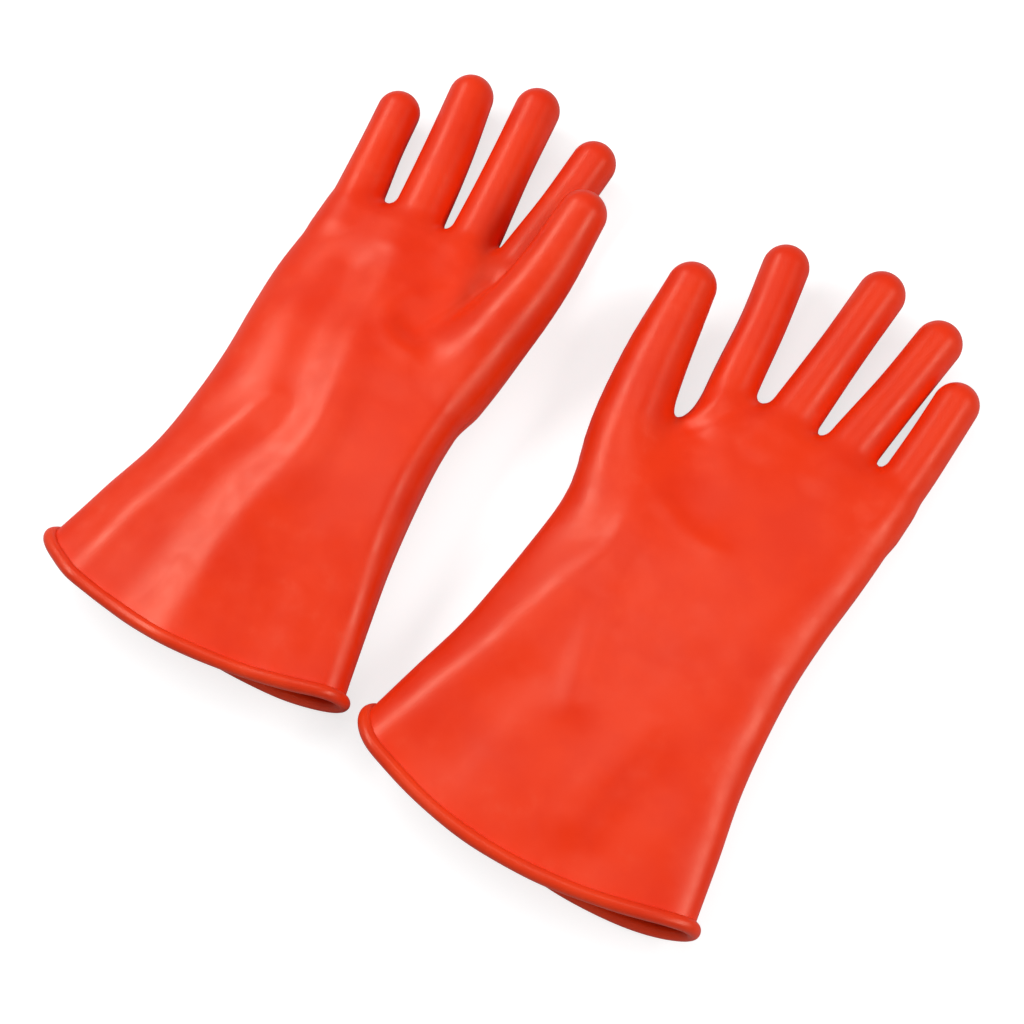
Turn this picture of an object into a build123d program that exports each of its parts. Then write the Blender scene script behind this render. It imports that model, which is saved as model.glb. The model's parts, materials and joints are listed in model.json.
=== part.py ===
"""A pair of moulded rubber electrical insulating gloves, laid palm up and side by side.

The fingers point along +Y, +Z is up and Z = 0 is the surface the gloves rest on.  The origin is the
middle of the pair.  Each glove is described once, by distances across it (positive towards the
thumb), along it (positive towards the fingers) and up; the left glove is the mirror of the right one,
apart from the way its thumb lies.  All sizes are in millimetres.
"""

import math
import os

from build123d import *

os.makedirs("parts", exist_ok=True)

# ---- driving dimensions ----
WALL = 2.5
ZONE_GAP = 0.15  # clearance left at each end of a flexing zone
SPACING = 206.0  # between the two gloves' middle lines
SPLAY = 2.2  # degrees that each glove turns its fingertips outwards
SHIFT_ALONG = -27.5  # puts the middle of the pair's length on the origin
SHIFT_SIDE = -4.47  # puts the middle of the pair's width on the origin
STAGGER = 4.0  # the right glove lies this far forward, the left one as far back

CUFF_REACH = 152.0  # from the wrist's reference line back to the middle of the cuff
CUFF_HALF_WIDTH = {"right": 90.0, "left": 94.0}
CUFF_HALF_HEIGHT = 16.0
CUFF_SAG = 20.0  # how far the middle of the cuff's edge stands past its corners
CUFF_LEAN = 18.0  # degrees that the cuff's upper lip leans out past the lower one
BEAD_RADIUS = 3.5
BEAD_GAP = 0.4  # clearance between the bead and the end of the gauntlet's wall
BEAD_SPANS = 24  # spans of each half of the bead's middle line
RIM_SEAM = 0.125  # share of the way round at which the bead's two halves meet

WRIST_START = -35.0  # the flexing wrist zone, along the glove
WRIST_MIDDLE = -10.0
WRIST_END = 15.0

# Cross-sections are flattened tubes with round sides, as (along, middle across, half width, half
# height, middle height).  The left glove lies flatter, so it is wider than the right one.
GAUNTLET = {
    "right": [
        (-170.0, -1.5, 94.0, 15.0, 19.0),
        (-128.0, -0.5, 86.5, 17.5, 21.0),
        (-85.0, 1.0, 74.5, 22.0, 24.5),
    ],
    "left": [
        (-170.0, 0.5, 98.0, 15.0, 19.0),
        (-128.0, 1.0, 93.0, 16.5, 20.0),
        (-85.0, 2.0, 84.5, 18.0, 20.5),
    ],
}
WRIST = {
    "right": [
        (WRIST_START, 1.0, 67.0, 24.0, 26.0),
        (WRIST_MIDDLE, 0.0, 65.5, 24.5, 26.5),
        (WRIST_END, -1.0, 66.0, 24.0, 25.5),
    ],
    "left": [
        (WRIST_START, 3.0, 76.0, 18.0, 20.0),
        (WRIST_MIDDLE, 3.3, 74.3, 18.5, 20.5),
        (WRIST_END, 2.7, 73.7, 18.5, 20.0),
    ],
}
PALM = {
    "right": [
        (50.0, -2.5, 67.5, 21.5, 20.7),
        (85.0, -6.0, 65.0, 16.8, 16.0),
        (111.0, -9.5, 60.5, 14.2, 13.4),
    ],
    "left": [
        (50.0, 0.0, 73.0, 18.0, 17.2),
        (85.0, -7.5, 67.5, 17.0, 16.2),
        (111.0, -12.5, 62.0, 15.5, 14.7),
    ],
}

# Each digit: outer radius at the web and at the dome, the free length from the web to the dome's
# centre, and the length of its two flexing zones.
DIGITS = {
    "little": (13.4, 12.0, 55.0, 20.0),
    "ring": (14.2, 12.6, 76.0, 24.0),
    "middle": (14.0, 12.8, 81.0, 24.0),
    "index": (14.0, 12.6, 67.0, 22.0),
    "thumb": (16.5, 13.0, 47.0, 16.0),
}
# Each digit's middle line: the dome's centre and the root inside the palm, as (across, along, up).
LINES = {
    "right": {
        "little": ((-65.0, 168.5, 17.0), (-55.0, 95.0, 15.0)),
        "ring": ((-33.5, 194.5, 19.0), (-19.5, 95.0, 15.0)),
        "middle": ((3.5, 203.0, 19.5), (14.0, 95.0, 15.0)),
        "index": ((47.0, 187.5, 18.5), (41.0, 95.0, 15.0)),
        "thumb": ((69.0, 138.5, 52.5), (54.0, 40.0, 25.0)),
    },
    "left": {
        "little": ((-61.5, 166.5, 17.0), (-60.5, 95.0, 15.0)),
        "ring": ((-37.0, 191.5, 19.0), (-27.5, 95.0, 15.0)),
        "middle": ((2.0, 201.0, 19.5), (5.5, 95.0, 15.0)),
        "index": ((52.5, 189.5, 18.5), (36.0, 95.0, 15.0)),
        "thumb": ((85.0, 148.0, 30.0), (59.0, 42.0, 18.5)),
    },
}
MIDDLE_JOINT_SHARE = 1.0 / 3.0  # of the free length, from the dome's centre back to the middle joint
BORE_PAST = 1.0  # bores run this far past the faces they open

CUT_SIZE = 800.0  # sides of the flat bottom cut, more than the pair's own size
CUT_HEIGHT = 200.0  # more than any part's height

HANDS = {"right": 1, "left": -1}


def direction(hand, across, along, up=0.0):
    """A direction on one glove, as a vector of the pair."""
    turn = math.radians(SPLAY)
    x = across * math.cos(turn) - along * math.sin(turn)
    y = across * math.sin(turn) + along * math.cos(turn)
    return Vector(HANDS[hand] * x, y, up)


def spot(hand, across, along, up=0.0):
    """A place on one glove, as a point of the pair."""
    side = HANDS[hand]
    middle = Vector(SHIFT_SIDE - side * SPACING / 2, SHIFT_ALONG + side * STAGGER, 0)
    return middle + direction(hand, across, along, up)


def section_plane(hand, section):
    """The upright plane of a cross-section, with its own x across the glove."""
    along, middle, _, _, height = section
    return Plane(
        origin=spot(hand, middle, along, height),
        x_dir=direction(hand, 1, 0),
        z_dir=direction(hand, 1, 0).cross(Vector(0, 0, 1)),
    )


def shell_loft(hand, sections, inset, trim=0.0):
    """Solid loft through the sections, shrunk by the inset and with its ends moved in by the trim."""
    last = len(sections) - 1
    with BuildPart() as body:
        for index, section in enumerate(sections):
            along, middle, half_width, half_height, height = section
            if index == 0:
                along += trim
            if index == last:
                along -= trim
            with BuildSketch(section_plane(hand, (along, middle, 0, 0, height))):
                SlotOverall(2 * (half_width - inset), 2 * (half_height - inset))
        loft()
    return body.part


def tube_wall(hand, sections, trim):
    """Open-ended tube of the glove's wall thickness through the sections."""
    outer = shell_loft(hand, sections, 0.0, trim)
    inner = shell_loft(hand, sections, WALL, trim - BORE_PAST)
    with BuildPart() as wall:
        add(outer)
        add(inner, mode=Mode.SUBTRACT)
    return wall.part


def digit_line(hand, name):
    """Dome centre, unit direction towards the tip, and a unit direction square to it."""
    dome = spot(hand, *LINES[hand][name][0])
    ahead = (dome - spot(hand, *LINES[hand][name][1])).normalized()
    beside = ahead.cross(Vector(0, 0, 1)).normalized()
    return dome, ahead, beside


def digit_length(hand, name):
    """Distance from a digit's root to its dome's centre."""
    dome, root = LINES[hand][name]
    return (spot(hand, *dome) - spot(hand, *root)).length


def digit_radius(name, back):
    """Outer radius at a distance back from the dome's centre."""
    web_radius, dome_radius, reach, _ = DIGITS[name]
    return dome_radius + (web_radius - dome_radius) * back / reach


def digit_stretch(hand, name, back_from, back_to, inset=None):
    """Length of a digit's tube between two distances back from its dome centre.

    With no inset it is a hollow tube of the glove's wall; with an inset it is a solid, shrunk by it.
    """
    dome, ahead, beside = digit_line(hand, name)
    start = dome - ahead * back_from
    length = back_from - back_to
    outer_start = digit_radius(name, back_from) - (inset or 0.0)
    outer_end = digit_radius(name, back_to) - (inset or 0.0)
    inner_start = 0.0 if inset is not None else outer_start - WALL
    inner_end = 0.0 if inset is not None else outer_end - WALL
    side_plane = Plane(origin=start, x_dir=beside, z_dir=beside.cross(ahead))
    with BuildPart() as stretch:
        with BuildSketch(side_plane):
            with BuildLine():
                Polyline(
                    (inner_start, 0),
                    (outer_start, 0),
                    (outer_end, length),
                    (inner_end, length),
                    close=True,
                )
            make_face()
        revolve(axis=Axis(start, ahead))
    return stretch.part


def digit_tip(hand, name, back_from):
    """Closed end of a digit: a hollow tube with a domed end."""
    dome, ahead, beside = digit_line(hand, name)
    start = dome - ahead * back_from
    outer_start = digit_radius(name, back_from)
    outer_end = digit_radius(name, 0.0)
    inner_end = outer_end - WALL
    side_plane = Plane(origin=start, x_dir=beside, z_dir=beside.cross(ahead))
    with BuildPart() as tip:
        with BuildSketch(side_plane):
            with BuildLine():
                Line((outer_start - WALL, 0), (outer_start, 0))
                Line((outer_start, 0), (outer_end, back_from))
                CenterArc((0, back_from), outer_end, 0, 90)
                Line((0, back_from + outer_end), (0, back_from + inner_end))
                CenterArc((0, back_from), inner_end, 90, -90)
                Line((inner_end, back_from), (outer_start - WALL, 0))
            make_face()
        revolve(axis=Axis(start, ahead))
    return tip.part


def save(part, name):
    """Label a finished piece and write its STEP file."""
    part.label = name
    export_step(part, f"parts/{name}.step")


def cuff_arc(hand):
    """Radius of the cuff's curved edge seen from above, and how far along the glove its centre is."""
    radius = (CUFF_HALF_WIDTH[hand] ** 2 + CUFF_SAG**2) / (2 * CUFF_SAG)
    return radius, radius - CUFF_REACH


def rim_outline(hand, share):
    """Across and up at a share of the way round the cuff's flattened outline, from one corner."""
    straight = 2 * (CUFF_HALF_WIDTH[hand] - CUFF_HALF_HEIGHT)
    bend = math.pi * CUFF_HALF_HEIGHT
    run = (share % 1.0) * 2 * (straight + bend)
    side = 1
    if run > straight + bend:
        run -= straight + bend
        side = -1
    first_bend = min(run, bend / 2)
    second_bend = max(run - bend / 2 - straight, 0.0)
    flat = run - first_bend - second_bend
    turn = (first_bend + second_bend) / CUFF_HALF_HEIGHT
    across = straight / 2 - flat + CUFF_HALF_HEIGHT * math.cos(turn)
    return side * across, side * CUFF_HALF_HEIGHT * math.sin(turn)


def cuff_edge(hand, share):
    """Point on the middle line of the cuff's bead."""
    across, rise = rim_outline(hand, share)
    arc_radius, arc_centre = cuff_arc(hand)
    along = arc_centre - math.sqrt(arc_radius**2 - across**2)
    along -= rise * math.tan(math.radians(CUFF_LEAN))
    return spot(hand, across, along, BEAD_RADIUS + CUFF_HALF_HEIGHT + rise)


def make_cuff_bead(hand):
    """Thick rolled rim round the opening, swept as an upper and a lower half."""
    with BuildPart() as bead:
        for first in (RIM_SEAM, RIM_SEAM + 0.5):
            shares = [first + 0.5 * k / BEAD_SPANS for k in range(BEAD_SPANS + 1)]
            with BuildLine() as rim:
                Spline(*[cuff_edge(hand, share) for share in shares])
            start = rim.edges()[0]
            with BuildSketch(Plane(origin=start @ 0, z_dir=start % 0)):
                Circle(BEAD_RADIUS)
            sweep()
    save(bead.part, f"{hand}_cuff_bead")


def make_gauntlet(hand):
    """Flared sleeve from the bead to the wrist, its end cut to the cuff's curved edge."""
    wall = tube_wall(hand, GAUNTLET[hand] + WRIST[hand][:1], ZONE_GAP)
    arc_radius, arc_centre = cuff_arc(hand)
    lean_angle = math.radians(CUFF_LEAN)
    lean = direction(hand, 0, -math.tan(lean_angle), 1)
    inset = (BEAD_RADIUS + BEAD_GAP) / math.cos(lean_angle)
    with BuildPart() as gauntlet:
        add(wall)
        with BuildSketch(Plane(origin=spot(hand, 0, arc_centre, BEAD_RADIUS + CUFF_HALF_HEIGHT))):
            Circle(arc_radius - inset)
        extrude(amount=CUT_HEIGHT, dir=lean, both=True, mode=Mode.INTERSECT)
    save(gauntlet.part, f"{hand}_gauntlet")


def make_wrist(hand):
    """Narrow zone that flexes as the wrist bends."""
    save(tube_wall(hand, WRIST[hand], ZONE_GAP), f"{hand}_wrist_flex_zone")


def make_hand(hand):
    """Palm and back of the hand with the root of every digit, flat where the back rests."""
    sections = WRIST[hand][-1:] + PALM[hand]
    outer = shell_loft(hand, sections, 0.0)
    entry = (WRIST_END - BORE_PAST, *sections[0][1:])
    inner = shell_loft(hand, [entry] + sections[1:], WALL)
    end_wall = Plane(
        origin=spot(hand, 0, sections[-1][0] - WALL),
        x_dir=direction(hand, 1, 0),
        z_dir=direction(hand, 0, 1),
    )
    with BuildPart() as palm:
        add(outer)
        for name, (_, _, reach, _) in DIGITS.items():
            add(digit_stretch(hand, name, digit_length(hand, name), reach + ZONE_GAP, 0.0))
        with BuildSketch():
            Rectangle(CUT_SIZE, CUT_SIZE)
        extrude(amount=CUT_HEIGHT, mode=Mode.INTERSECT)
    with BuildPart() as cavity:
        add(inner)
        split(bisect_by=end_wall, keep=Keep.BOTTOM)
        for name, (_, _, reach, _) in DIGITS.items():
            add(digit_stretch(hand, name, digit_length(hand, name), reach - BORE_PAST, WALL))
    with BuildPart() as shell:
        add(palm.part)
        add(cavity.part, mode=Mode.SUBTRACT)
    save(shell.part, f"{hand}_hand")


def make_digit(hand, name):
    """The four lengths of a digit past its root, from the knuckle to the closed tip."""
    _, _, reach, zone = DIGITS[name]
    knuckle_end = reach - zone
    middle_start = reach * MIDDLE_JOINT_SHARE + zone / 2
    middle_end = middle_start - zone
    base = digit_stretch(hand, name, knuckle_end - ZONE_GAP, middle_start + ZONE_GAP)
    save(digit_stretch(hand, name, reach, knuckle_end), f"{hand}_{name}_knuckle_flex_zone")
    save(base, f"{hand}_{name}_base")
    save(digit_stretch(hand, name, middle_start, middle_end), f"{hand}_{name}_middle_flex_zone")
    save(digit_tip(hand, name, middle_end - ZONE_GAP), f"{hand}_{name}_tip")


for hand in HANDS:
    make_cuff_bead(hand)
    make_gauntlet(hand)
    make_wrist(hand)
    make_hand(hand)
    for name in DIGITS:
        make_digit(hand, name)
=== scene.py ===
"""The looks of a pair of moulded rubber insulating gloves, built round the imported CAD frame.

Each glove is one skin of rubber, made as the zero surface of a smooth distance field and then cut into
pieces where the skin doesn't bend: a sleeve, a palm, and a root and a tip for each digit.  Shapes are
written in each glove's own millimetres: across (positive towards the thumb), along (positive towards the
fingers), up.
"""

import json
import math

import bpy
import numpy as np
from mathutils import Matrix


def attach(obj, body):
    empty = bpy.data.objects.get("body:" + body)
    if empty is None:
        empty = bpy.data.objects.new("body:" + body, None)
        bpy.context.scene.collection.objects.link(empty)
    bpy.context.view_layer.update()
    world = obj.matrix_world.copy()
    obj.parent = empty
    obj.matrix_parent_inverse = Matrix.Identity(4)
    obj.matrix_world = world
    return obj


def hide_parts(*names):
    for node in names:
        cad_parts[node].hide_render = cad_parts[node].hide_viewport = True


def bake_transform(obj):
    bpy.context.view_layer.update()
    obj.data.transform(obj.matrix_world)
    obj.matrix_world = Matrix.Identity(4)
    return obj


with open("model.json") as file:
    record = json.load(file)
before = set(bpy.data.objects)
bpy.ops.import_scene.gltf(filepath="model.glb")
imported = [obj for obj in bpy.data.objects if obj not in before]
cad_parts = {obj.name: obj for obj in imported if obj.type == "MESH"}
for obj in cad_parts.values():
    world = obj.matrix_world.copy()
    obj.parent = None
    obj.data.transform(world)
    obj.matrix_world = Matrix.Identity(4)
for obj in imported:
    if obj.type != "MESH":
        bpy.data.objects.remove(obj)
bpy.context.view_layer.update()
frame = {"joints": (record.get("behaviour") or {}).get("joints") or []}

# ---- where the gloves lie: the CAD frame's own driving dimensions, in millimetres ----
MM = 0.001
SPACING = 206.0  # between the two gloves' middle lines
SPLAY = math.radians(2.2)  # how far each glove turns its fingertips outwards
SHIFT_ALONG = -27.5  # puts the middle of the pair's length on the origin
SHIFT_SIDE = -4.47  # puts the middle of the pair's width on the origin
STAGGER = 4.0  # the right glove lies this far forward, the left one as far back
SIDES = {"right": 1, "left": -1}

# ---- rubber ----
WALL = 2.3
BEAD_RADIUS = 3.5
CUFF_TRIM = 0.3  # faces nearer than this to the cuff's edge are cut away
CUFF_OVERLAP = 0.8  # the skin ends this far from the middle line of the bead that covers its end

# ---- mesh of the skin ----
GRID_STEP = 1.6
RELAX_ROUNDS = 3
RELAX_SHARE = 0.6
RELAX_STEP = 0.7  # longest step back onto the surface in one round
LEAST_SLOPE = 0.5  # the field counts as at least this steep there
SLOPE_STEP = 0.2
BLOCK = 6  # grid cells along a side of the blocks that the field is worked out in
FAR = 1e3
TINY = 1e-9
MESH_LOW = (-106, -176, -3)
MESH_HIGH = (108, 220, 69)

# ---- shape of the flattened sleeve and palm ----
# Along: edge away from the thumb, edge by the thumb, underside, top.
BODY = {
    "right": [
        (-175, -96, 93, 3.0, 36.0),
        (-150, -92.5, 90, 3.0, 37.0),
        (-128, -86, 85, 2.5, 39.0),
        (-100, -77.5, 79, 2.0, 43.0),
        (-70, -68, 73, 1.5, 47.0),
        (-35, -64, 68, 1.5, 49.0),
        (-10, -64, 65.5, 1.5, 48.0),
        (20, -67, 65, 1.0, 45.0),
        (50, -70, 65, 0.0, 39.0),
        (80, -69.5, 62, 0.0, 34.5),
        (105, -67.5, 56, 0.5, 30.0),
        (125, -64, 52, 1.0, 26.0),
    ],
    "left": [
        (-175, -97, 99, 3.0, 34.0),
        (-150, -96, 98, 3.0, 35.0),
        (-128, -91, 94, 2.5, 36.0),
        (-100, -85, 88.5, 2.0, 37.5),
        (-70, -78, 82.5, 1.5, 38.5),
        (-35, -73, 79, 1.5, 39.0),
        (-10, -71, 77.5, 1.5, 39.0),
        (20, -71, 76, 1.0, 38.0),
        (50, -72.5, 71, 0.0, 35.5),
        (80, -73, 54, 0.0, 33.0),
        (105, -71.5, 45, 0.5, 29.5),
        (125, -68, 42, 1.0, 26.0),
    ],
}
PALM_END = 114.0
SQUARENESS = 2.5  # 2 is an ellipse, more is squarer
END_ROUNDING = 14.0
FLOOR_ROUNDING = 0.6
FINGERS_FROM = 60.0  # no finger starts nearer to the cuff than this
FINGER_BLEND = 3.0
WEB_BLEND = 7.5
THUMB_BLEND = {"right": 12.0, "left": 10.0}

# ---- digits: points on the middle line with the radius there, from inside the palm to the dome ----
FINGERS = ("little", "ring", "middle", "index")
DIGITS = {
    "right": {
        "little": [(-54, 88, 15, 14), (-58, 118, 15, 13.4), (-62, 145, 16, 12.2), (-65, 168.5, 17, 12)],
        "ring": [
            (-18, 88, 15, 15), (-21.8, 120, 15.5, 14.6), (-27, 158, 17.5, 13.8), (-33.5, 194.5, 19, 12.5)
        ],
        "middle": [(15, 88, 15, 15), (12, 122, 15.5, 13.8), (7.5, 165, 18, 12.5), (3.5, 203, 19.5, 12.6)],
        "index": [(40.5, 88, 15, 15), (42.5, 120, 15.5, 14), (45, 155, 17, 12.5), (47, 187.5, 18.5, 12.4)],
        "thumb": [(49, 32, 21, 17.5), (56, 66, 29, 18.5), (64, 100, 40, 16), (68, 138.5, 52, 13)],
    },
    "left": {
        "little": [
            (-59.5, 88, 15, 12.5), (-61, 118, 15, 12.6), (-61.5, 143, 16, 12.2), (-61.5, 166.5, 17, 12)
        ],
        "ring": [(-27, 88, 15, 15), (-29.5, 120, 15.5, 14), (-34, 160, 17.5, 12.6), (-37, 191.5, 19, 12.5)],
        "middle": [(5.5, 88, 15, 15), (4.5, 122, 15.5, 13.8), (3, 165, 18, 12.6), (2, 201, 19.5, 12.7)],
        "index": [
            (34.5, 88, 15, 13.5), (40.4, 120, 15.5, 12.9), (45.5, 155, 17, 12.4), (52.5, 189.5, 18.5, 12.5)
        ],
        "thumb": [(54, 8, 18, 14), (68, 53, 20.5, 19), (78.5, 100, 24.5, 17.2), (85, 148, 30, 13.2)],
    },
}
LINE_STEPS = 5  # pieces of line between two of the points above

# ---- cuff: reach, half width, sag, tilt, lean, change of lean across ----
CUFF = {
    "right": (151.0, 90.0, 16.0, 0.05, 0.34, 0.36),
    "left": (152.0, 94.0, 20.5, 0.03, 0.32, 0.46),
}
CUFF_MIDDLE_UP = 19.5  # height at which the lean moves the edge neither way
RIM_POINTS = 240
RIM_ROUNDS = 20  # rounds that bring the rim's line onto the cuff's edge
BEAD_SIDES = 24
BEAD_UNEVEN = 0.15
BEAD_WAVES = (9.0, 5.0, 23.0)  # a wave across and up, multiplied by a longer one across

# ---- soft ridges and hollows of the upper face: height, width, line of (across, along) ----
RELIEF = {
    "right": [
        (1.5, 9, [(-62, -150), (-53, -109), (-36, -66), (-20, -26)]),
        (1.8, 11.5, [(-1, -165), (0, -92), (12, -27), (0, 18), (-12, 84)]),
        (2.2, 10, [(80, -150), (69, -90), (59, -40), (57, 12), (59, 40)]),
        (-1.3, 12, [(-32, -150), (-20, -80), (-8, -36)]),
        (-1.8, 13, [(-12, -24), (-24, 26), (-30, 64)]),
        (-2.0, 15, [(38, -150), (32, -70), (26, 0)]),
        (-3.2, 8.5, [(21, 47), (30, 66), (41, 90)]),
        (1.5, 7, [(7, 64), (4, 50), (11, 37), (24, 33)]),
    ],
    "left": [
        (3.0, 14, [(62, 64), (46, 34), (37, 4), (48, -33), (63, -85), (77, -124), (85, -150)]),
        (1.8, 10, [(27, -26), (19, -50), (10, -76)]),
        (2.0, 12, [(-27, -66), (-24, -91), (-21, -124)]),
        (-1.6, 14, [(44, -130), (40, -84)]),
        (-1.8, 14, [(43, 82), (29, 60), (15, 38)]),
        (0.9, 6, [(30, 34), (12, 27), (-6, 25)]),
        (-1.4, 14, [(-38, -130), (-42, -90)]),
        (-0.9, 10, [(-30, -28), (-50, -40), (-72, -46)]),
        (0.7, 4, [(50, 84), (40, 97), (38, 112)]),
        (-0.7, 4, [(43, 79), (33, 92), (27, 104)]),
    ],
}
RELIEF_FROM_MIDDLE = 0.25  # share of the thickness over which the relief grows to its full height
RELIEF_PAST_PALM = 8.0  # the relief has faded out this far past the palm's end
RELIEF_FADE = 20.0  # length over which it fades
RIPPLE = 0.15  # height of faint ripples over the whole upper face
RIPPLE_ACROSS = 8.3
RIPPLE_ALONG = 13.1
RIPPLE_BEND = (1.7, 17.0)


# ================================ shape functions ================================
def curve(knots, at):
    """Smooth (Catmull-Rom) curve through rows of (position, value, ...), read at the given positions."""
    rows = np.asarray(knots, float)
    place, values = rows[:, 0], rows[:, 1:]
    slopes = np.gradient(values, place, axis=0)
    at = np.clip(at, place[0], place[-1])
    k = np.clip(np.searchsorted(place, at) - 1, 0, len(place) - 2)
    span = (place[k + 1] - place[k])[:, None]
    t = (at - place[k])[:, None] / span
    start, end = values[k], values[k + 1]
    first, last = slopes[k] * span, slopes[k + 1] * span
    return (
        (2 * t**3 - 3 * t**2 + 1) * start
        + (t**3 - 2 * t**2 + t) * first
        + (3 * t**2 - 2 * t**3) * end
        + (t**3 - t**2) * last
    )


def smooth_min(a, b, width):
    """The smaller of two distances, rounded where they are nearly equal."""
    h = np.clip(0.5 + 0.5 * (b - a) / width, 0, 1)
    return b * (1 - h) + a * h - width * h * (1 - h)


def tube_distance(points, line):
    """Distance to a tube round a line of (across, along, up, radius) points."""
    best = np.full(len(points), FAR)
    for start, end in zip(line[:-1], line[1:]):
        step = end[:3] - start[:3]
        t = np.clip((points - start[:3]) @ step / (step @ step), 0, 1)
        away = np.linalg.norm(points - start[:3] - t[:, None] * step, axis=1)
        best = np.minimum(best, away - start[3] - t * (end[3] - start[3]))
    return best


def dense_line(rows):
    """More points along a smooth line through the given rows."""
    rows = np.asarray(rows, float)
    run = np.r_[0, np.cumsum(np.linalg.norm(np.diff(rows[:, :3], axis=0), axis=1))]
    steps = np.linspace(0, run[-1], LINE_STEPS * (len(rows) - 1) + 1)
    return curve(np.c_[run, rows], steps)


LINES = {hand: {name: dense_line(DIGITS[hand][name]) for name in DIGITS[hand]} for hand in SIDES}
FOLDS = {
    hand: [(height, width, dense_line(line)) for height, width, line in RELIEF[hand]] for hand in SIDES
}


def relief(hand, points):
    """Height of the soft ridges, hollows and ripples on the upper face of the sleeve and palm."""
    _, _, under, top = curve(BODY[hand], points[:, 1]).T
    facing = np.clip((points[:, 2] - (top + under) / 2) / (top - under) / RELIEF_FROM_MIDDLE, 0, 1)
    facing *= np.clip((PALM_END + RELIEF_PAST_PALM - points[:, 1]) / RELIEF_FADE, 0, 1)
    upper = facing > 0
    flat = points[upper, :2]
    bend, bend_length = RIPPLE_BEND
    rise = np.sin(flat[:, 0] / RIPPLE_ACROSS + bend * np.sin(flat[:, 1] / bend_length))
    rise *= RIPPLE * np.sin(flat[:, 1] / RIPPLE_ALONG)
    for height, width, line in FOLDS[hand]:
        near = np.full(len(flat), FAR**2)
        for start, end in zip(line[:-1], line[1:]):
            step = end - start
            t = np.clip((flat - start) @ step / (step @ step), 0, 1)
            near = np.minimum(near, ((flat - start - t[:, None] * step) ** 2).sum(1))
        rise += height * np.exp(-near / width**2)
    total = np.zeros(len(points))
    total[upper] = rise * facing[upper] ** 2 * (3 - 2 * facing[upper])
    return total


def body_distance(hand, points):
    """Distance to the flattened sleeve and palm."""
    low, high, under, top = curve(BODY[hand], points[:, 1]).T
    half_width, half_height = (high - low) / 2, (top - under) / 2
    x = (points[:, 0] - (high + low) / 2) / half_width
    z = (points[:, 2] - (top + under) / 2) / half_height
    n = SQUARENESS
    shape = (np.abs(x) ** n + np.abs(z) ** n + TINY) ** (1 / n)
    slope_x = (np.abs(x) / shape) ** (n - 1) / half_width
    slope_z = (np.abs(z) / shape) ** (n - 1) / half_height
    side = (shape - 1) / np.sqrt(slope_x**2 + slope_z**2 + TINY)
    past_end = points[:, 1] - PALM_END
    near_side = np.maximum(side + END_ROUNDING, 0)
    near_end = np.maximum(past_end + END_ROUNDING, 0)
    corner = np.sqrt(near_side**2 + near_end**2) - END_ROUNDING
    return np.where(past_end > -END_ROUNDING, np.maximum(corner, np.maximum(side, past_end)), side)


def skin_distance(hand, points):
    """Distance to the outside of a whole glove, past both ends of its cuff."""
    body = body_distance(hand, points)
    fingers = np.full(len(points), FAR)
    reach = points[:, 1] > FINGERS_FROM
    near = points[reach]
    found = np.full(len(near), FAR)
    for name in FINGERS:
        found = smooth_min(found, tube_distance(near, LINES[hand][name]), FINGER_BLEND)
    fingers[reach] = found
    skin = smooth_min(body, fingers, WEB_BLEND)
    skin = skin - relief(hand, points)
    thumb = tube_distance(points, LINES[hand]["thumb"])
    skin = smooth_min(skin, thumb, THUMB_BLEND[hand])
    return -smooth_min(-skin, points[:, 2], FLOOR_ROUNDING)


def cuff_edge(hand, across, up):
    """How far along the glove its cuff's curved, tilted and leaning edge is."""
    reach, half_width, sag, tilt, lean, lean_change = CUFF[hand]
    radius = (half_width**2 + sag**2) / (2 * sag)
    side = SIDES[hand] * across
    arc = radius - reach - np.sqrt(np.maximum(radius**2 - across**2, 0))
    return arc - tilt * side - (up - CUFF_MIDDLE_UP) * (lean - lean_change * side / half_width)


def rim_line(hand):
    """Closed line round the cuff's edge, on the outside of the wall."""
    turn = np.linspace(0, 2 * math.pi, RIM_POINTS, endpoint=False)
    power = 2 / SQUARENESS
    x = np.sign(np.cos(turn)) * np.abs(np.cos(turn)) ** power
    z = np.sign(np.sin(turn)) * np.abs(np.sin(turn)) ** power
    along = np.full(RIM_POINTS, -CUFF[hand][0])
    for _ in range(RIM_ROUNDS):
        low, high, under, top = curve(BODY[hand], along).T
        across = (high + low) / 2 + x * (high - low) / 2
        up = (top + under) / 2 + z * (top - under) / 2
        up += relief(hand, np.c_[across, along, up])
        along = 0.5 * along + 0.5 * cuff_edge(hand, across, up)
    line = np.c_[across, along, up, np.full(RIM_POINTS, BEAD_RADIUS)]
    return np.vstack([line, line[:1]])


RIMS = {hand: rim_line(hand) for hand in SIDES}


def outer_distance(hand, points):
    """Distance to the outside of a glove whose cuff is closed by a cut along its edge."""
    cut = cuff_edge(hand, points[:, 0], points[:, 2]) - points[:, 1]
    return np.maximum(skin_distance(hand, points), cut)


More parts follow.
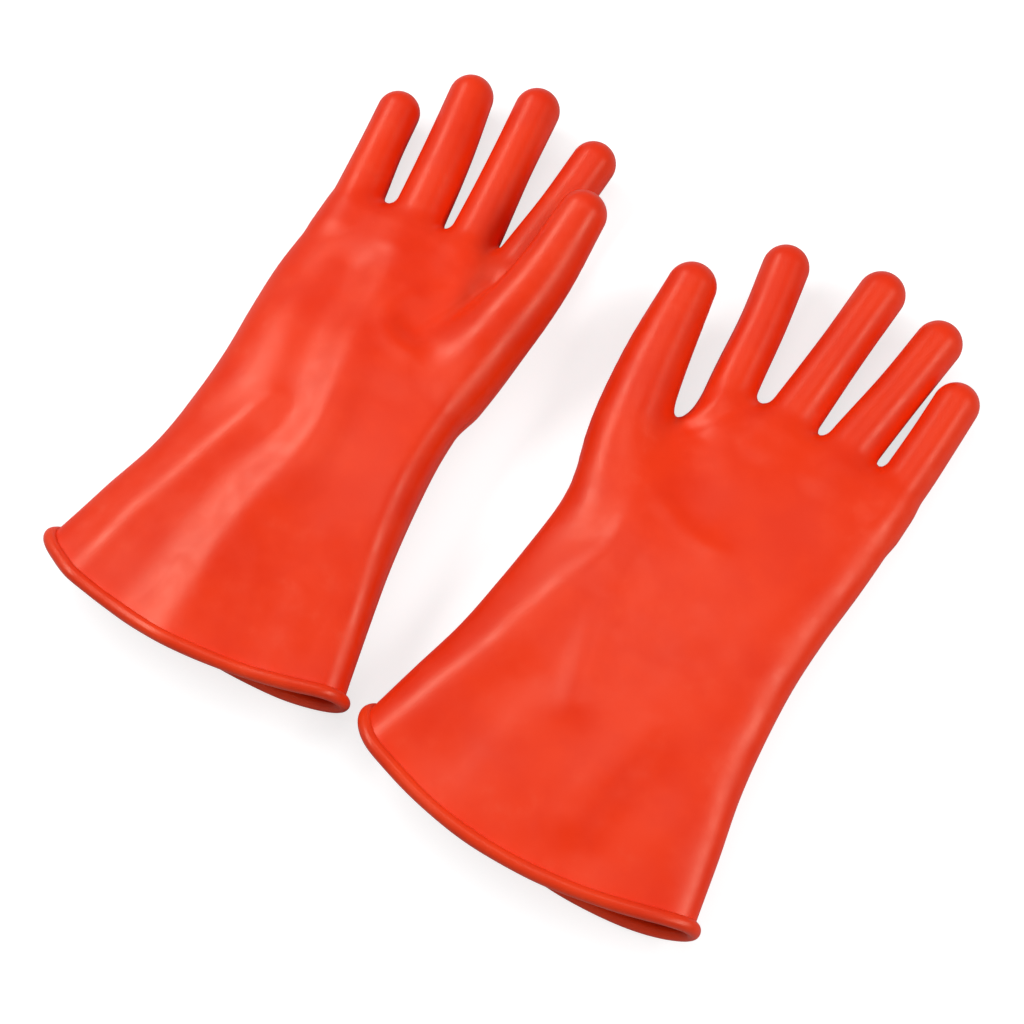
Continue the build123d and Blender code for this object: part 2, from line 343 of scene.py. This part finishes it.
def sampled_field(distance, axes):
    """A distance field on a grid, worked out only in the blocks near its surface."""
    shape = tuple(len(a) for a in axes)
    block = [np.arange(0, n, BLOCK) for n in shape]
    corners = np.stack(np.meshgrid(*block, indexing="ij"), -1).reshape(-1, 3)
    step = axes[0][1] - axes[0][0]
    middles = np.stack([axes[n][0] + step * (corners[:, n] + BLOCK / 2) for n in range(3)], 1)
    rough = distance(middles)
    field = rough.reshape([len(b) for b in block])
    for axis in range(3):
        field = np.repeat(field, BLOCK, axis)
    field = field[: shape[0], : shape[1], : shape[2]].copy()
    near = corners[np.abs(rough) < step * BLOCK + WALL + 1]
    inner = np.stack(np.meshgrid(*[np.arange(BLOCK)] * 3, indexing="ij"), -1).reshape(-1, 3)
    cells = (near[:, None] + inner[None]).reshape(-1, 3)
    cells = cells[(cells < shape).all(1)]
    points = np.stack([axes[n][cells[:, n]] for n in range(3)], 1)
    field[tuple(cells.T)] = distance(points)
    return field


def surface_net(distance, low, high, step):
    """Vertices and quads of a distance field's zero surface inside a box."""
    axes = [np.arange(a, b + step, step) for a, b in zip(low, high)]
    field = sampled_field(distance, axes)
    shape = field.shape
    inside = field < 0
    corners = [(i, j, k) for i in (0, 1) for j in (0, 1) for k in (0, 1)]
    size = np.array(shape) - 1
    held = sum(inside[i:i + size[0], j:j + size[1], k:k + size[2]].astype(int) for i, j, k in corners)
    cells = np.argwhere((held > 0) & (held < 8))
    number = np.full(tuple(size), -1)
    number[tuple(cells.T)] = np.arange(len(cells))
    values = {c: field[tuple((cells + c).T)] for c in corners}
    total, count = np.zeros((len(cells), 3)), np.zeros(len(cells))
    for start in corners:
        for axis in range(3):
            if start[axis]:
                continue
            end = tuple(s + (n == axis) for n, s in enumerate(start))
            a, b = values[start], values[end]
            crossed = (a < 0) != (b < 0)
            share = np.where(crossed, a / np.where(crossed, a - b, 1), 0)
            place = np.array(start, float) + share[:, None] * (np.arange(3) == axis)
            total += place * crossed[:, None]
            count += crossed
    vertices = (cells + total / count[:, None]) * step + [a[0] for a in axes]
    quads = []
    for axis in range(3):
        u, v = (axis + 1) % 3, (axis + 2) % 3
        low_side = [slice(None)] * 3
        high_side = [slice(None)] * 3
        low_side[axis], high_side[axis] = slice(None, -1), slice(1, None)
        change = inside[tuple(low_side)].astype(int) - inside[tuple(high_side)]
        for sign in (1, -1):
            spots = np.argwhere(change == sign)
            spots = spots[(spots[:, u] > 0) & (spots[:, v] > 0)]
            spots = spots[(spots[:, u] < size[u]) & (spots[:, v] < size[v])]
            ring = []
            for du, dv in ((1, 1), (0, 1), (0, 0), (1, 0))[::sign]:
                cell = spots.copy()
                cell[:, u] -= du
                cell[:, v] -= dv
                ring.append(number[tuple(cell.T)])
            quads.append(np.array(ring).T)
    return vertices, np.vstack(quads)


def slope(distance, points):
    """Gradient of a distance field."""
    steps = SLOPE_STEP * np.eye(3)
    changes = [distance(points + step) - distance(points - step) for step in steps]
    return np.stack(changes, 1) / (2 * SLOPE_STEP)


def relax(vertices, quads, distance, rounds):
    """Even out the mesh and bring it back onto the surface."""
    pairs = np.vstack([quads[:, [0, 1]], quads[:, [1, 2]], quads[:, [2, 3]], quads[:, [3, 0]]])
    pairs = np.vstack([pairs, pairs[:, ::-1]])
    links = np.bincount(pairs[:, 0], minlength=len(vertices))
    for _ in range(rounds):
        middle = np.stack(
            [np.bincount(pairs[:, 0], vertices[pairs[:, 1], n], len(vertices)) for n in range(3)], 1
        ) / links[:, None]
        push = middle - vertices
        normal = slope(distance, vertices)
        length = np.linalg.norm(normal, axis=1, keepdims=True) + TINY
        normal /= length
        push -= normal * (push * normal).sum(1, keepdims=True)
        vertices = vertices + RELAX_SHARE * push
        away = distance(vertices)[:, None] / np.maximum(length, LEAST_SLOPE)
        vertices = vertices - np.clip(away, -RELAX_STEP, RELAX_STEP) * normal
    return vertices


def to_frame(hand, points):
    """Glove millimetres to the frame's metres."""
    x = points[:, 0] * math.cos(SPLAY) - points[:, 1] * math.sin(SPLAY) - SPACING / 2
    y = points[:, 0] * math.sin(SPLAY) + points[:, 1] * math.cos(SPLAY) + SHIFT_ALONG
    side = SIDES[hand]
    return np.c_[side * x + SHIFT_SIDE, y + side * STAGGER, points[:, 2]] * MM


def vertex_normals(vertices, quads):
    """Smooth normals of a quad mesh."""
    a, b, c, d = (vertices[quads[:, n]] for n in range(4))
    face = np.cross(c - a, d - b)
    total = np.zeros_like(vertices)
    for n in range(4):
        for axis in range(3):
            total[:, axis] += np.bincount(quads[:, n], face[:, axis], len(vertices))
    return total / (np.linalg.norm(total, axis=1, keepdims=True) + TINY)


def open_edges(quads, count):
    """Edges that only one quad has, in that quad's direction."""
    edges = np.vstack([quads[:, [0, 1]], quads[:, [1, 2]], quads[:, [2, 3]], quads[:, [3, 0]]])
    key = np.sort(edges, 1) @ np.array([count, 1])
    _, first, times = np.unique(key, return_index=True, return_counts=True)
    return edges[first[times == 1]]


def skin_mesh(hand):
    """Vertices in glove millimetres, normals and quads of a glove's outside, open at the cuff."""

    def distance(points):
        return outer_distance(hand, points)

    vertices, quads = surface_net(distance, MESH_LOW, MESH_HIGH, GRID_STEP)
    vertices = relax(vertices, quads, distance, RELAX_ROUNDS)
    normals = vertex_normals(vertices, quads)
    past_edge = vertices[:, 1] - cuff_edge(hand, vertices[:, 0], vertices[:, 2]) < CUFF_TRIM
    quads = quads[~past_edge[quads].any(1)]
    used, local = np.unique(quads, return_inverse=True)
    vertices, quads = vertices[used], local.reshape(-1, 4)
    end = np.unique(open_edges(quads, len(vertices)))
    vertices[end, 1] = cuff_edge(hand, vertices[end, 0], vertices[end, 2]) + CUFF_OVERLAP
    return vertices, normals[used], quads


def with_inside(vertices, normals, quads):
    """The skin with its inner face a wall's thickness further in, and the cuff's end closed between them."""
    count = len(vertices)
    a, b = open_edges(quads, count).T
    end = np.c_[b, a, a + count, b + count]
    inner = quads[:, ::-1] + count
    places = np.vstack([vertices, vertices - normals * WALL])
    return places, np.vstack([normals, -normals]), np.vstack([quads, inner, end])


def turned(hand, directions):
    """Directions on a glove as directions in the frame."""
    return (to_frame(hand, directions) - to_frame(hand, np.zeros((1, 3)))) / MM


# ================================ pieces ================================
# Each digit is cut into pieces where the frame's own joints are.
KNUCKLE_JOINT = {name: f"{name}_knuckle_curl" for name in FINGERS}
KNUCKLE_JOINT["thumb"] = "thumb_root_swing"
HINGES = [joint for joint in frame["joints"] if "pos_m" in joint]
JOINT_AT = {joint["name"]: np.array(joint["pos_m"]) / MM for joint in HINGES}

ZONE = {"little": 20.0, "ring": 24.0, "middle": 24.0, "index": 22.0, "thumb": 16.0}  # bends' lengths
ZONE_EXTRA = 3.0  # added to the length of every bend
WEB_MASK = {"little": 7.0, "ring": 7.0, "middle": 7.0, "index": 7.0, "thumb": 12.0}  # webs bend less
ROOT_FREE = 0.92  # share of the way to the cut where the webs' hold on a digit's root ends
WRIST_BEND = (-38.0, 18.0)  # where along the glove the wrist's bend starts and ends
WRIST_UP = 25.0  # height of the line between those two places
SLEEVE_END = -44.0  # where the sleeve's skin meets the palm's
BEAD_PARTING = 5.0  # stands for "no parting line here"
PARTING_REACH = 1.0  # the parting line follows a digit where it is nearer than the palm by this


def smooth(t):
    """Smooth step from 0 to 1."""
    t = np.clip(t, 0, 1)
    return t * t * (3 - 2 * t)


def bend_line(hand, name):
    """A digit's knuckle and middle pivots and the direction from one to the other, in frame millimetres."""
    knuckle = JOINT_AT[f"{hand}_{KNUCKLE_JOINT[name]}"]
    middle = JOINT_AT[f"{hand}_{name}_middle_curl"]
    return knuckle, middle, (middle - knuckle) / np.linalg.norm(middle - knuckle)


def ownership(hand, points):
    """For every digit, how much nearer the points are to it than to anything else of the glove."""
    names = list(DIGITS[hand])
    away = [tube_distance(points, LINES[hand][name]) for name in names]
    away = np.stack(away + [body_distance(hand, points)])
    owned = {}
    for k, name in enumerate(names):
        owned[name] = np.delete(away, k, 0).min(0) - away[k]
    return owned


def parting_height(hand, points):
    """How far the points are above the moulding's parting surface, in millimetres."""
    nearest = body_distance(hand, points) - PARTING_REACH
    _, _, under, top = curve(BODY[hand], points[:, 1]).T
    height = points[:, 2] - (top + under) / 2
    for line in LINES[hand].values():
        away = tube_distance(points, line)
        direction = line[-1, :3] - line[0, :3]
        t = np.clip((points - line[0, :3]) @ direction / (direction @ direction), 0, 1)
        level = np.interp(t, np.linspace(0, 1, len(line)), line[:, 2])
        height = np.where(away < nearest, points[:, 2] - level, height)
        nearest = np.minimum(nearest, away)
    return height


def split_glove(hand, vertices, quads):
    """A label for every face: which piece of the glove it belongs to."""
    middles = vertices[quads].mean(1)
    placed = to_frame(hand, middles) / MM
    label = np.full(len(quads), "palm", dtype=object)
    label[middles[:, 1] < SLEEVE_END] = "sleeve"
    owned = ownership(hand, middles)
    for name in DIGITS[hand]:
        knuckle, middle, ahead = bend_line(hand, name)
        past = (placed - knuckle) @ ahead
        mine = (owned[name] > 0) & (past > -(ZONE[name] + ZONE_EXTRA) / 2)
        label[mine] = f"{name}_root"
        half_way = ((middle - knuckle) @ ahead) / 2
        label[mine & (past > half_way)] = f"{name}_tip"
    return label


def make_piece(name, places, normals, quads, parting, material):
    """A mesh object of some of a glove's faces, keeping the whole glove's normals at its edges."""
    used, local = np.unique(quads, return_inverse=True)
    faces = local.reshape(-1, 4)
    mesh = bpy.data.meshes.new(name)
    mesh.from_pydata(places[used].tolist(), [], faces.tolist())
    mesh.polygons.foreach_set("use_smooth", np.ones(len(faces), bool))
    mesh.normals_split_custom_set_from_vertices(normals[used].tolist())
    rest = mesh.attributes.new("rest_place", "FLOAT_VECTOR", "POINT")
    rest.data.foreach_set("vector", places[used].astype(np.float32).ravel())
    height = mesh.attributes.new("parting_height", "FLOAT", "POINT")
    height.data.foreach_set("value", parting[used].astype(np.float32))
    mesh.materials.append(material)
    piece = bpy.data.objects.new(name, mesh)
    bpy.context.scene.collection.objects.link(piece)
    return piece, used


def bead_mesh(hand):
    """Vertices in glove millimetres, normals and quads of the rolled rim round the cuff."""
    line = RIMS[hand][:-1, :3]
    ahead = np.roll(line, -1, 0) - np.roll(line, 1, 0)
    ahead /= np.linalg.norm(ahead, axis=1, keepdims=True)
    out = np.cross(ahead, (0.0, 1.0, 0.0))
    out /= np.linalg.norm(out, axis=1, keepdims=True)
    back = np.cross(ahead, out)
    turn = np.linspace(0, 2 * math.pi, BEAD_SIDES, endpoint=False)[None, :, None]
    normals = out[:, None] * np.cos(turn) + back[:, None] * np.sin(turn)
    first, second, third = BEAD_WAVES
    swell = np.sin(line[:, 0] / first + line[:, 2] / second) * np.sin(line[:, 0] / third)
    swell *= BEAD_UNEVEN
    vertices = line[:, None] + normals * (BEAD_RADIUS + swell)[:, None, None]
    around, along = np.meshgrid(np.arange(BEAD_SIDES), np.arange(len(line)))
    next_around, next_along = (around + 1) % BEAD_SIDES, (along + 1) % len(line)
    corners = [(along, around), (along, next_around), (next_along, next_around), (next_along, around)]
    quads = np.stack([n * BEAD_SIDES + m for n, m in corners], -1).reshape(-1, 4)
    return vertices.reshape(-1, 3), normals.reshape(-1, 3), quads


# ================================ materials ================================
# Sizes of the patterns, in cycles per metre.
BLOTCHES = 26.0
CLOUDS = 75.0
GRAIN = 900.0
DUST_CELLS = 130.0
PARTING_BREAKS = 160.0

BLOOM_SHARE = 0.2
DUST_SHARE = 0.35
PARTING_SHARE = 0.5
PARTING_LEAST = 0.2
PARTING_WIDTH = (0.75, 0.15)  # half width of the parting line's foot and of its crest, in millimetres
GRAIN_DEPTH, CLOUD_DEPTH, PARTING_DEPTH = 0.0004, 0.0015, 0.0006  # metres
RUBBER_IOR = 1.5
RUBBER_SPECULAR = 0.52
RUBBER_SHEEN = (1.0, 0.74, 0.55, 1)  # highlights on the red rubber are warm


def shader(material):
    """A material's node tree, emptied, with an output and a Principled shader."""
    material.use_nodes = True
    tree = material.node_tree
    tree.nodes.clear()
    output = tree.nodes.new("ShaderNodeOutputMaterial")
    surface = tree.nodes.new("ShaderNodeBsdfPrincipled")
    tree.links.new(surface.outputs["BSDF"], output.inputs["Surface"])
    return tree, surface


def add_node(tree, kind, values=None, **settings):
    """A node with its settings, and its inputs set to values or joined to sockets."""
    node = tree.nodes.new(kind)
    for key, value in settings.items():
        setattr(node, key, value)
    for key, value in (values or {}).items():
        if isinstance(value, bpy.types.NodeSocket):
            tree.links.new(value, node.inputs[key])
        else:
            node.inputs[key].default_value = value
    return node


def noise(tree, place, scale, detail, roughness=0.5):
    """Grey noise of the given size, in cycles per metre."""
    values = {"Vector": place, "Scale": scale, "Detail": detail, "Roughness": roughness}
    return add_node(tree, "ShaderNodeTexNoise", values).outputs["Fac"]


def ranged(tree, value, low, high, out_low=0.0, out_high=1.0):
    """A value mapped smoothly from one range to another."""
    values = {"Value": value, "From Min": low, "From Max": high, "To Min": out_low, "To Max": out_high}
    return add_node(tree, "ShaderNodeMapRange", values, interpolation_type="SMOOTHSTEP").outputs["Result"]


def math_node(tree, operation, first, second=0.0):
    """One sum of two numbers or sockets."""
    return add_node(tree, "ShaderNodeMath", {0: first, 1: second}, operation=operation).outputs[0]


def tint(tree, share, base, other):
    """Base colour or socket mixed towards another one by a share."""
    values = {"Factor": share, "A": base, "B": other}
    return add_node(tree, "ShaderNodeMix", values, data_type="RGBA").outputs["Result"]


def bump(tree, height, strength, depth, under=None):
    """A bumped normal, laid over another one if that is given."""
    values = {"Height": height, "Strength": strength, "Distance": depth}
    if under is not None:
        values["Normal"] = under
    return add_node(tree, "ShaderNodeBump", values).outputs["Normal"]


def rubber(name, colour, deep, pale, roughness):
    """Satin moulded rubber: faint blotches and bloom, dust specks, fine grain and a parting line."""
    material = bpy.data.materials.new(name)
    tree, surface = shader(material)
    place = add_node(tree, "ShaderNodeAttribute", attribute_name="rest_place").outputs["Vector"]
    height = add_node(tree, "ShaderNodeAttribute", attribute_name="parting_height").outputs["Fac"]
    blotch = noise(tree, place, BLOTCHES, 4.0, 0.55)
    cloud = noise(tree, place, CLOUDS, 5.0, 0.6)
    grain = noise(tree, place, GRAIN, 3.0)
    shade = tint(tree, ranged(tree, blotch, 0.35, 0.7), colour, deep)
    bloom = math_node(tree, "MULTIPLY", ranged(tree, cloud, 0.52, 0.75), ranged(tree, blotch, 0.6, 0.35))
    shade = tint(tree, math_node(tree, "MULTIPLY", bloom, BLOOM_SHARE), shade, pale)
    cells = add_node(tree, "ShaderNodeTexVoronoi", {"Vector": place, "Scale": DUST_CELLS})
    speck = ranged(tree, cells.outputs["Distance"], 0.075, 0.02)
    dust = math_node(tree, "MULTIPLY", speck, ranged(tree, cloud, 0.55, 0.7))
    shade = tint(tree, math_node(tree, "MULTIPLY", dust, DUST_SHARE), shade, pale)
    breaks = ranged(tree, noise(tree, place, PARTING_BREAKS, 3.0), 0.3, 0.6)
    ragged = math_node(tree, "MULTIPLY", breaks, 1 - PARTING_LEAST)
    line = ranged(tree, math_node(tree, "ABSOLUTE", height), *PARTING_WIDTH)
    line = math_node(tree, "MULTIPLY", line, math_node(tree, "ADD", ragged, PARTING_LEAST))
    shade = tint(tree, math_node(tree, "MULTIPLY", line, PARTING_SHARE), shade, deep)
    tree.links.new(shade, surface.inputs["Base Color"])
    rough = math_node(tree, "ADD", ranged(tree, cloud, 0.3, 0.7, -0.05, 0.06), roughness)
    tree.links.new(rough, surface.inputs["Roughness"])
    fine = bump(tree, grain, 0.06, GRAIN_DEPTH)
    wavy = bump(tree, cloud, 0.04, CLOUD_DEPTH, fine)
    flash = bump(tree, line, 0.8, PARTING_DEPTH, wavy)
    tree.links.new(flash, surface.inputs["Normal"])
    surface.inputs["IOR"].default_value = RUBBER_IOR
    surface.inputs["Specular IOR Level"].default_value = RUBBER_SPECULAR
    surface.inputs["Specular Tint"].default_value = RUBBER_SHEEN
    return material


GLOVE_RUBBER = rubber(
    "glove_rubber", (0.83, 0.03, 0.001, 1), (0.78, 0.023, 0.001, 1), (0.86, 0.1, 0.045, 1), 0.37
)
CUFF_RUBBER = rubber(
    "cuff_rubber", (0.81, 0.04, 0.005, 1), (0.72, 0.026, 0.003, 1), (0.86, 0.12, 0.06, 1), 0.36
)


# ================================ the gloves ================================
def bend_points(pivot, ahead, length):
    """Start and end of a bend centred on a pivot, in metres."""
    return (pivot - ahead * length / 2) * MM, (pivot + ahead * length / 2) * MM


def root_bends(past, length, cut, owned, web):
    """How far a digit's root follows the digit: fully at its cut, and less in the webs beside it."""
    near_web = 1 - smooth(owned / web)
    return smooth(past / length + 0.5) * (1 - near_web * (1 - smooth(past / (cut * ROOT_FREE))))


def build_glove(hand):
    """All the pieces of one glove, with the cuff's rim and the sleeve's skin on the sleeve's body."""
    vertices, normals, quads = skin_mesh(hand)
    label = split_glove(hand, vertices, quads)
    owned = ownership(hand, vertices)
    owned = {name: np.r_[value, value] for name, value in owned.items()}
    parting = np.tile(parting_height(hand, vertices), 2)
    vertices, normals, quads = with_inside(vertices, normals, quads)
    labels = np.r_[label, label, np.full(len(quads) - 2 * len(label), "sleeve", dtype=object)]
    places, normals = to_frame(hand, vertices), turned(hand, normals)
    quads = quads[:, :: SIDES[hand]]

    def part_of(label, title):
        piece, used = make_piece(
            f"{hand}_{title}", places, normals, quads[labels == label], parting, GLOVE_RUBBER
        )
        return piece, used

    bead, bead_normals, bead_quads = bead_mesh(hand)
    rim, _ = make_piece(
        f"{hand}_cuff_rim", to_frame(hand, bead), turned(hand, bead_normals),
        bead_quads[:, :: SIDES[hand]], np.full(len(bead), BEAD_PARTING), CUFF_RUBBER,
    )
    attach(rim, f"{hand}_sleeve")
    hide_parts(f"{hand}_cuff_bead")
    sleeve, _ = part_of("sleeve", "sleeve_skin")
    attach(sleeve, f"{hand}_sleeve")
    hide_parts(f"{hand}_gauntlet")
    palm, _ = part_of("palm", "palm_skin")
    start, end = (to_frame(hand, np.array([[0.0, along, WRIST_UP]]))[0] for along in WRIST_BEND)
    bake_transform(palm)
    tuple(start)
    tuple(end)
    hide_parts(f"{hand}_wrist_flex_zone", f"{hand}_hand")
    for name in DIGITS[hand]:
        knuckle, middle, ahead = bend_line(hand, name)
        length = ZONE[name] + ZONE_EXTRA
        root, used = part_of(f"{name}_root", f"{name}_root_skin")
        start, end = bend_points(knuckle, ahead, length)
        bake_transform(root)
        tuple(start)
        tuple(end)
        past = (places[used] / MM - knuckle) @ ahead
        cut = ((middle - knuckle) @ ahead) / 2
        bends = root_bends(past, length, cut, owned[name][used], WEB_MASK[name])
        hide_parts(f"{hand}_{name}_knuckle_flex_zone", f"{hand}_{name}_base")
        tip, _ = part_of(f"{name}_tip", f"{name}_tip_skin")
        start, end = bend_points(middle, ahead, length)
        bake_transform(tip)
        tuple(start)
        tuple(end)
        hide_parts(f"{hand}_{name}_middle_flex_zone", f"{hand}_{name}_tip")


for hand in SIDES:
    build_glove(hand)


# ================================ floor, lights and camera ================================
FLOOR_HALF = 4.0
FLOOR_UP = -0.0004
FLOOR_GREY = (0.45, 0.45, 0.45, 1)
FLOOR_GLOW = 0.72  # only the camera sees it, so that it doesn't light the gloves
WHITE = (1, 1, 1, 1)
WORLD_LIGHT = 0.28

floor_mesh = bpy.data.meshes.new("floor")
corners = [(FLOOR_HALF * x, FLOOR_HALF * y, FLOOR_UP) for x, y in ((-1, -1), (1, -1), (1, 1), (-1, 1))]
floor_mesh.from_pydata(corners, [], [(0, 1, 2, 3)])
floor = bpy.data.objects.new("floor", floor_mesh)
bpy.context.scene.collection.objects.link(floor)
floor_material = bpy.data.materials.new("floor")
floor_tree, floor_surface = shader(floor_material)
floor_surface.inputs["Base Color"].default_value = FLOOR_GREY
floor_surface.inputs["Roughness"].default_value = 0.9
floor_surface.inputs["Specular IOR Level"].default_value = 0.1
floor_surface.inputs["Emission Color"].default_value = WHITE
seen = add_node(floor_tree, "ShaderNodeLightPath").outputs["Is Camera Ray"]
glow = math_node(floor_tree, "MULTIPLY", seen, FLOOR_GLOW)
floor_tree.links.new(glow, floor_surface.inputs["Emission Strength"])
floor_mesh.materials.append(floor_material)

world = bpy.data.worlds.new("studio")
bpy.context.scene.world = world
world.use_nodes = True
world.node_tree.nodes["Background"].inputs["Color"].default_value = WHITE
world.node_tree.nodes["Background"].inputs["Strength"].default_value = WORLD_LIGHT


def softbox(name, place, size, power):
    """A large rectangular lamp at a place, turned to the middle of the pair."""
    data = bpy.data.lights.new(name, "AREA")
    data.shape = "RECTANGLE"
    data.size, data.size_y = size
    data.energy = power
    lamp = bpy.data.objects.new(name, data)
    bpy.context.scene.collection.objects.link(lamp)
    lamp.location = place
    lamp.rotation_mode = "QUATERNION"
    lamp.rotation_quaternion = (-lamp.location).to_track_quat("-Z", "Y")


# Name, place, size and power in watts.
softbox("left_softbox", (-1.1, 0.05, 1.15), (1.5, 0.4), 16.0)
softbox("right_softbox", (1.2, 0.05, 1.0), (1.5, 0.4), 12.5)
softbox("top_softbox", (-0.1, 0.6, 1.9), (1.2, 0.6), 5.0)

CAMERA_PLACE = (0.28225, -0.37799, 0.99365)
CAMERA_TURN = (0.42421, 0.0573, 0.55343)  # radians about X, Y and Z
camera_data = bpy.data.cameras.new("camera")
camera_data.lens = 75.0
camera_data.sensor_width = 36.0
camera = bpy.data.objects.new("camera", camera_data)
bpy.context.scene.collection.objects.link(camera)
camera.location = CAMERA_PLACE
camera.rotation_euler = CAMERA_TURN
bpy.context.scene.camera = camera
bpy.context.scene.view_settings.view_transform = "Standard"
